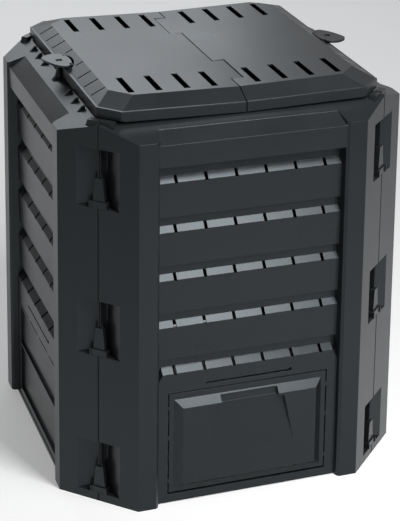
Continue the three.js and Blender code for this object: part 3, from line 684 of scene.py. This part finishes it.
def plastic_material(name, colour, with_shaded_seams=False):
    """Satin moulded plastic in one colour, with the corner seams where they belong: a bumped
    groove with painted shade in its colour.
    """
    found = bpy.data.materials.get(name)
    if found:
        return found
    settings = finish_settings()
    material, tree, output = new_material(name)
    shader = new_node(tree, "ShaderNodeBsdfPrincipled")
    shader.inputs["Specular IOR Level"].default_value = SPECULAR_LEVEL
    shader.inputs["Specular Tint"].default_value = (*settings.gloss_tint, 1.0)
    place = new_node(tree, "ShaderNodeTexCoord")
    grain = place_group(tree, moulded_grain_group())
    grain.inputs["Grain Scale"].default_value = 1.0 / settings.grain_size
    grain.inputs["Cloud Scale"].default_value = 1.0 / settings.flow_size
    grain.inputs["Roughness"].default_value = settings.roughness
    skin = place_group(tree, handled_skin_group())
    skin.inputs["Colour"].default_value = (*colour, 1.0)
    skin.inputs["Wear"].default_value = settings.edge_wear
    skin.inputs["Dust"].default_value = settings.dust
    skin.inputs["Dust Colour"].default_value = (*settings.dust_colour, 1.0)
    rounding = new_node(tree, "ShaderNodeBevel", samples=ROUNDING_SAMPLES)
    rounding.inputs["Radius"].default_value = settings.edge_radius
    bump = new_node(tree, "ShaderNodeBump")
    bump.inputs["Distance"].default_value = settings.grain_depth
    link = tree.links.new
    link(rounding.outputs["Normal"], skin.inputs["Rounded Normal"])
    link(place.outputs["Object"], grain.inputs["Place"])
    link(grain.outputs["Clouds"], skin.inputs["Clouds"])
    link(grain.outputs["Height"], bump.inputs["Height"])
    link(bump.outputs["Normal"], shader.inputs["Normal"])
    link(shader.outputs["BSDF"], output.inputs["Surface"])
    if with_shaded_seams:
        seam = place_group(tree, seam_groove_and_shade_group())
        seam.inputs["Half Width"].default_value = settings.seam_width
        dip = new_node(tree, "ShaderNodeBump")
        dip.inputs["Distance"].default_value = settings.seam_depth
        link(place.outputs["Object"], seam.inputs["Place"])
        link(skin.outputs["Colour"], seam.inputs["Colour"])
        link(grain.outputs["Roughness"], seam.inputs["Roughness"])
        # The seam's colour holds painted shade, darker towards the bottom of the groove
        link(seam.outputs["Colour"], shader.inputs["Base Color"])
        link(seam.outputs["Roughness"], shader.inputs["Roughness"])
        link(seam.outputs["Height"], dip.inputs["Height"])
        link(rounding.outputs["Normal"], dip.inputs["Normal"])
        link(dip.outputs["Normal"], bump.inputs["Normal"])
    else:
        link(skin.outputs["Colour"], shader.inputs["Base Color"])
        link(grain.outputs["Roughness"], shader.inputs["Roughness"])
        link(rounding.outputs["Normal"], bump.inputs["Normal"])
    return material


def wall_plastic():
    # The walls' corner seams carry painted shade
    return plastic_material("wall plastic", finish_settings().body_colour, with_shaded_seams=True)


def body_plastic():
    return plastic_material("body plastic", finish_settings().body_colour)


def lid_plastic():
    return plastic_material("lid plastic", finish_settings().lid_colour)


# Dressing of the solids

def dress(nodes, material):
    """Gives each of these solids its moulded finish."""
    for name in nodes:
        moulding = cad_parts[name]
        for place in moulding.material_slots:
            place.material = material


class BIN_OT_walls(bpy.types.Operator):
    """Dresses the four louvred walls"""
    bl_idname = "compost_bin.walls"
    bl_label = "Walls"

    def execute(self, context):
        dress([f"wall_{side}" for side in SIDES], wall_plastic())
        return {"FINISHED"}


class BIN_OT_clips(bpy.types.Operator):
    """Dresses the wedge clips of the four corners"""
    bl_idname = "compost_bin.clips"
    bl_label = "Corner clips"

    def execute(self, context):
        dress([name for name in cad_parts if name.startswith("clip_")], body_plastic())
        return {"FINISHED"}


class BIN_OT_flaps(bpy.types.Operator):
    """Dresses the two emptying flaps"""
    bl_idname = "compost_bin.flaps"
    bl_label = "Flaps"

    def execute(self, context):
        dress(["flap_front", "flap_rear"], body_plastic())
        return {"FINISHED"}


class BIN_OT_lids(bpy.types.Operator):
    """Dresses the two lid halves"""
    bl_idname = "compost_bin.lids"
    bl_label = "Lid halves"

    def execute(self, context):
        dress(["lid_left", "lid_right"], lid_plastic())
        return {"FINISHED"}


class BIN_OT_latches(bpy.types.Operator):
    """Dresses the two lid latches"""
    bl_idname = "compost_bin.latches"
    bl_label = "Latches"

    def execute(self, context):
        dress(["latch_left", "latch_right"], lid_plastic())
        return {"FINISHED"}


# Small pieces, which the solids don't have

def new_block(name, place, size, turn=0.0):
    """Adds a box, turned about the vertical, with its place and turn in its mesh."""
    bpy.ops.object.select_all(action="DESELECT")
    bpy.ops.mesh.primitive_cube_add(
        size=1.0, location=place, rotation=(0, 0, turn), scale=size
    )
    block = bpy.context.active_object
    block.name = block.data.name = name
    bpy.ops.object.transform_apply(location=True, rotation=True, scale=True)
    return block


def select_corners(piece, wanted):
    """Selects the corners of the piece in edit mode that the test wants, and nothing else."""
    bpy.ops.mesh.select_mode(type="VERT")
    bpy.ops.mesh.select_all(action="DESELECT")
    shape = bmesh.from_edit_mesh(piece.data)
    for corner in shape.verts:
        corner.select_set(wanted(corner.co))
    shape.select_flush(True)
    bmesh.update_edit_mesh(piece.data)


def move_corners(piece, wanted, way):
    """Moves the corners that the test wants."""
    select_corners(piece, wanted)
    bpy.ops.transform.translate(value=way)


def extrude_corners(piece, wanted, way):
    """Extrudes what lies between the corners that the test wants."""
    select_corners(piece, wanted)
    bpy.ops.mesh.extrude_region_move(TRANSFORM_OT_translate={"value": way})


def slot_shade_lip(body, side_x, side_y):
    """Upright lip under a lid half, just inside the rim of the wall below it: a sheet that puts
    the lid's slots above it in shade, standing for a guessed stiffening lip.
    """
    settings = finish_settings()
    start, bend, end = settings.lip_reach
    root, bend_root, end_root = settings.lip_roots
    low = settings.lip_drop
    centre = Vector((side_x * (start + bend) / 2, side_y * settings.lip_out, (low + root) / 2))

    def outward(at):
        return side_x * (at.x - centre.x) > 0

    lip = new_block(
        f"{body}_{ENDS[side_y]}_lip", centre, (bend - start, settings.lip_thick, root - low)
    )
    bpy.ops.object.mode_set(mode="EDIT")
    move_corners(lip, lambda at: at.z > centre.z and outward(at), (0, 0, bend_root - root))
    extrude_corners(lip, outward, (side_x * (end - bend), 0, 0))
    move_corners(
        lip,
        lambda at: at.z > centre.z and abs(at.x) > (bend + end) / 2,
        (0, 0, end_root - bend_root),
    )
    select_corners(lip, lambda at: at.z < centre.z)
    bpy.ops.transform.resize(value=(1, LIP_TAPER, 1), center_override=centre)
    bpy.ops.mesh.bevel(
        offset=settings.lip_thick / LIP_EDGE_PARTS, segments=LIP_EDGE_STEPS, affect="EDGES"
    )
    bpy.ops.object.mode_set(mode="OBJECT")
    # The lip is a sheet for shade: it hides the lit inside of the bin behind the slots
    lip.data.materials.append(lid_plastic())
    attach(lip, body)


class BIN_OT_lips(bpy.types.Operator):
    """Adds the lips under the front and rear edges of the lid halves, sheets that put the lid's
    slots in shade
    """
    bl_idname = "compost_bin.lips"
    bl_label = "Slot shading lips"

    def execute(self, context):
        for side_x, hand in HANDS.items():
            for side_y in ENDS:
                slot_shade_lip(f"lid_{hand}", side_x, side_y)
        return {"FINISHED"}


def seam_tongue(side_x, side_y):
    """Thin upright tongue between the flanges of two walls, behind the corner pockets."""
    settings = finish_settings()
    low, high = settings.tongue_span
    foot, head = settings.tongue_reach
    deep, thick = settings.tongue_size
    centre = Vector((side_x * foot, side_y * foot, (low + high) / 2))
    tongue = new_block(
        f"seam_{ENDS[side_y]}_{HANDS[side_x]}_tongue",
        centre,
        (deep, thick, high - low),
        turn=math.atan2(side_y, side_x),
    )
    bpy.ops.object.mode_set(mode="EDIT")
    lean = (side_x * (head - foot), side_y * (head - foot), 0)
    move_corners(tongue, lambda at: at.z > centre.z, lean)
    bpy.ops.object.mode_set(mode="OBJECT")
    tongue.data.materials.append(body_plastic())
    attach(tongue, "body")


class BIN_OT_tongues(bpy.types.Operator):
    """Adds the tongues that close the hairline seams between the walls"""
    bl_idname = "compost_bin.tongues"
    bl_label = "Seam tongues"

    def execute(self, context):
        for side_x in HANDS:
            for side_y in ENDS:
                seam_tongue(side_x, side_y)
        return {"FINISHED"}


def clip_collar(name, side_x, side_y, foot):
    """H-shaped collar round the foot of a corner clip, built flat and then set in its pocket."""
    settings = finish_settings()
    wide, deep, tall = settings.collar_size
    wall = settings.collar_wall
    inner = wide / 2 - wall
    near = inner - wall / 2
    collar = new_block(name, (0, wall / 2, tall / 2), (2 * inner, wall, tall))
    bpy.ops.object.mode_set(mode="EDIT")
    for end in (-1, 1):
        extrude_corners(collar, lambda at: at.x * end > near, (end * wall, 0, 0))
        extrude_corners(collar, lambda at: at.x * end > near and at.y > wall / 2, (0, deep, 0))
        extrude_corners(collar, lambda at: at.x * end > near and at.y < wall / 2, (0, -wall, 0))
    bpy.ops.object.mode_set(mode="OBJECT")
    reach = settings.corner_reach * (1 - settings.wall_lean * (foot + tall / 2))
    collar.location = (side_x * reach, side_y * reach, foot)
    collar.rotation_euler = (0, 0, math.atan2(-side_y, -side_x) - math.pi / 2)
    bpy.ops.object.transform_apply(location=True, rotation=True, scale=True)
    collar.data.materials.append(body_plastic())
    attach(collar, "body")


class BIN_OT_collars(bpy.types.Operator):
    """Adds the collars round the feet of the twelve corner clips"""
    bl_idname = "compost_bin.collars"
    bl_label = "Clip collars"

    def execute(self, context):
        for corner, side_x, side_y in CORNERS:
            for row, foot in enumerate(finish_settings().collar_feet, start=1):
                clip_collar(f"clip_{corner}_{row}_collar", side_x, side_y, foot)
        return {"FINISHED"}


# Stage

def floor_material():
    """Pale floor that keeps the shadow, and looks paler to the camera, gloss and glass.

    The lift stops at the bin's footprint: the larger of x and y gives its straight
    sides, and their shrunk sum its bevelled corners.
    """
    settings = stage_settings()
    material, tree, output = new_material("floor")
    cover = new_node(tree, "ShaderNodeBsdfDiffuse")
    cover.inputs["Color"].default_value = (*settings.floor_colour, 1.0)
    lift = new_node(tree, "ShaderNodeEmission")
    lift.inputs["Color"].default_value = WHITE
    ray = new_node(tree, "ShaderNodeLightPath")
    mirrored = new_node(tree, "ShaderNodeMath", operation="MAXIMUM")
    seen = new_node(tree, "ShaderNodeMath", operation="MAXIMUM")
    amount = new_node(tree, "ShaderNodeMath", operation="MULTIPLY")
    amount.inputs[1].default_value = settings.floor_lift
    place = new_node(tree, "ShaderNodeTexCoord")
    reach = new_node(tree, "ShaderNodeVectorMath", operation="ABSOLUTE")
    axes = new_node(tree, "ShaderNodeSeparateXYZ")
    farther = new_node(tree, "ShaderNodeMath", operation="MAXIMUM")
    corner = new_node(tree, "ShaderNodeMath", operation="ADD")
    half = MEASURED_BOX[1][0] - settings.wall_foot
    shrunk = new_node(tree, "ShaderNodeMath", operation="MULTIPLY")
    shrunk.inputs[1].default_value = half / (2 * half - settings.corner_leg)
    farthest = new_node(tree, "ShaderNodeMath", operation="MAXIMUM")
    outside = new_node(tree, "ShaderNodeMath", operation="GREATER_THAN")
    outside.inputs[1].default_value = half
    open_floor = new_node(tree, "ShaderNodeMath", operation="MULTIPLY")
    both = new_node(tree, "ShaderNodeAddShader")
    link = tree.links.new
    link(ray.outputs["Is Glossy Ray"], mirrored.inputs[0])
    link(ray.outputs["Is Transmission Ray"], mirrored.inputs[1])
    link(mirrored.outputs["Value"], seen.inputs[0])
    link(ray.outputs["Is Camera Ray"], seen.inputs[1])
    link(seen.outputs["Value"], amount.inputs[0])
    link(place.outputs["Object"], reach.inputs[0])
    link(reach.outputs["Vector"], axes.inputs["Vector"])
    link(axes.outputs["X"], farther.inputs[0])
    link(axes.outputs["Y"], farther.inputs[1])
    link(axes.outputs["X"], corner.inputs[0])
    link(axes.outputs["Y"], corner.inputs[1])
    link(corner.outputs["Value"], shrunk.inputs[0])
    link(farther.outputs["Value"], farthest.inputs[0])
    link(shrunk.outputs["Value"], farthest.inputs[1])
    link(farthest.outputs["Value"], outside.inputs[0])
    link(outside.outputs["Value"], open_floor.inputs[0])
    link(amount.outputs["Value"], open_floor.inputs[1])
    link(open_floor.outputs["Value"], lift.inputs["Strength"])
    link(cover.outputs["BSDF"], both.inputs[0])
    link(lift.outputs["Emission"], both.inputs[1])
    link(both.outputs["Shader"], output.inputs["Surface"])
    return material


def set_sky(scene):
    """Surrounding light, brighter near the horizon."""
    settings = stage_settings()
    world = bpy.data.worlds.new("studio")
    scene.world = world
    world.use_nodes = True
    tree = world.node_tree
    tree.nodes.clear()
    output = new_node(tree, "ShaderNodeOutputWorld")
    sky = new_node(tree, "ShaderNodeBackground")
    sky.inputs["Color"].default_value = WHITE
    way = new_node(tree, "ShaderNodeTexCoord")
    parts = new_node(tree, "ShaderNodeSeparateXYZ")
    strengths = (settings.sky_low, settings.sky_high)
    height = map_range(tree, SKY_SPAN, strengths, interpolation_type="SMOOTHSTEP")
    link = tree.links.new
    link(way.outputs["Generated"], parts.inputs["Vector"])
    link(parts.outputs["Z"], height.inputs["Value"])
    link(height.outputs["Result"], sky.inputs["Strength"])
    link(sky.outputs["Background"], output.inputs["Surface"])


def softbox(name, place, size, power, colour, aim):
    """Rectangular lamp at this place, turned to the aim."""
    bpy.ops.object.select_all(action="DESELECT")
    turn = (Vector(place) - Vector(aim)).to_track_quat("Z", "Y").to_euler()
    bpy.ops.object.light_add(type="AREA", location=place, rotation=turn)
    lamp = bpy.context.active_object
    lamp.name = lamp.data.name = name
    lamp.data.shape = "RECTANGLE"
    lamp.data.size, lamp.data.size_y = size
    lamp.data.energy = power
    lamp.data.color = colour


def set_camera(scene):
    """Camera at the viewing angle of the photograph."""
    settings = stage_settings()
    level = math.cos(settings.elevation)
    back = Vector((
        math.sin(settings.azimuth) * level,
        -math.cos(settings.azimuth) * level,
        math.sin(settings.elevation),
    ))
    right = (-back).cross(Vector((0, 0, 1))).normalized()
    up = back.cross(right)
    tilt = Matrix.Rotation(settings.roll, 3, back)
    axes = Matrix((tilt @ right, tilt @ up, back)).transposed()
    bpy.ops.object.select_all(action="DESELECT")
    bpy.ops.object.camera_add(
        location=Vector(settings.aim) + back * settings.distance,
        rotation=axes.to_euler(),
    )
    camera = bpy.context.active_object
    camera.name = "camera"
    camera.data.lens = settings.lens
    camera.data.sensor_width = SENSOR_WIDTH
    camera.data.sensor_fit = "AUTO"
    camera.data.dof.use_dof = False
    scene.camera = camera


class BIN_OT_stage(bpy.types.Operator):
    """Sets the floor, the lamps and the camera"""
    bl_idname = "compost_bin.stage"
    bl_label = "Stage"

    def execute(self, context):
        scene = context.scene
        settings = stage_settings()
        bpy.ops.object.select_all(action="DESELECT")
        bpy.ops.mesh.primitive_plane_add(size=settings.floor_span, location=(0, 0, 0))
        floor = context.active_object
        floor.name = "floor"
        floor.data.materials.append(floor_material())
        set_sky(scene)
        middle = (MEASURED_BOX[0] + MEASURED_BOX[1]) / 2
        softbox(
            "front_softbox",
            settings.key_place,
            settings.key_size,
            settings.key_power,
            settings.key_colour,
            middle,
        )
        softbox(
            "back_softbox",
            settings.back_place,
            settings.back_size,
            settings.back_power,
            settings.back_colour,
            middle,
        )
        set_camera(scene)
        scene.view_settings.view_transform = "Standard"
        return {"FINISHED"}


class BIN_PT_panel(bpy.types.Panel):
    """Pieces and stage of the compost bin"""
    bl_idname = "BIN_PT_panel"
    bl_label = "Compost bin"
    bl_space_type = "VIEW_3D"
    bl_region_type = "UI"
    bl_category = "Compost bin"

    def draw(self, context):
        layout = self.layout
        for group in (finish_settings(), stage_settings()):
            box = layout.box()
            for key in group.__annotations__:
                box.prop(group, key)
        for operator in PIECES:
            layout.operator(operator.bl_idname)


PIECES = (
    BIN_OT_walls,
    BIN_OT_tongues,
    BIN_OT_clips,
    BIN_OT_collars,
    BIN_OT_flaps,
    BIN_OT_lids,
    BIN_OT_lips,
    BIN_OT_latches,
    BIN_OT_stage,
)
CLASSES = (BinFinishSettings, BinStageSettings, *PIECES, BIN_PT_panel)


def register():
    for cls in CLASSES:
        bpy.utils.register_class(cls)
    bpy.types.Scene.bin_finish = bpy.props.PointerProperty(type=BinFinishSettings)
    bpy.types.Scene.bin_stage = bpy.props.PointerProperty(type=BinStageSettings)


def unregister():
    del bpy.types.Scene.bin_stage
    del bpy.types.Scene.bin_finish
    for cls in reversed(CLASSES):
        bpy.utils.unregister_class(cls)


def main():
    register()
    bpy.ops.compost_bin.walls()
    bpy.ops.compost_bin.tongues()
    bpy.ops.compost_bin.clips()
    bpy.ops.compost_bin.collars()
    bpy.ops.compost_bin.flaps()
    bpy.ops.compost_bin.lids()
    bpy.ops.compost_bin.lips()
    bpy.ops.compost_bin.latches()
    bpy.ops.compost_bin.stage()


if __name__ == "__main__":
    main()
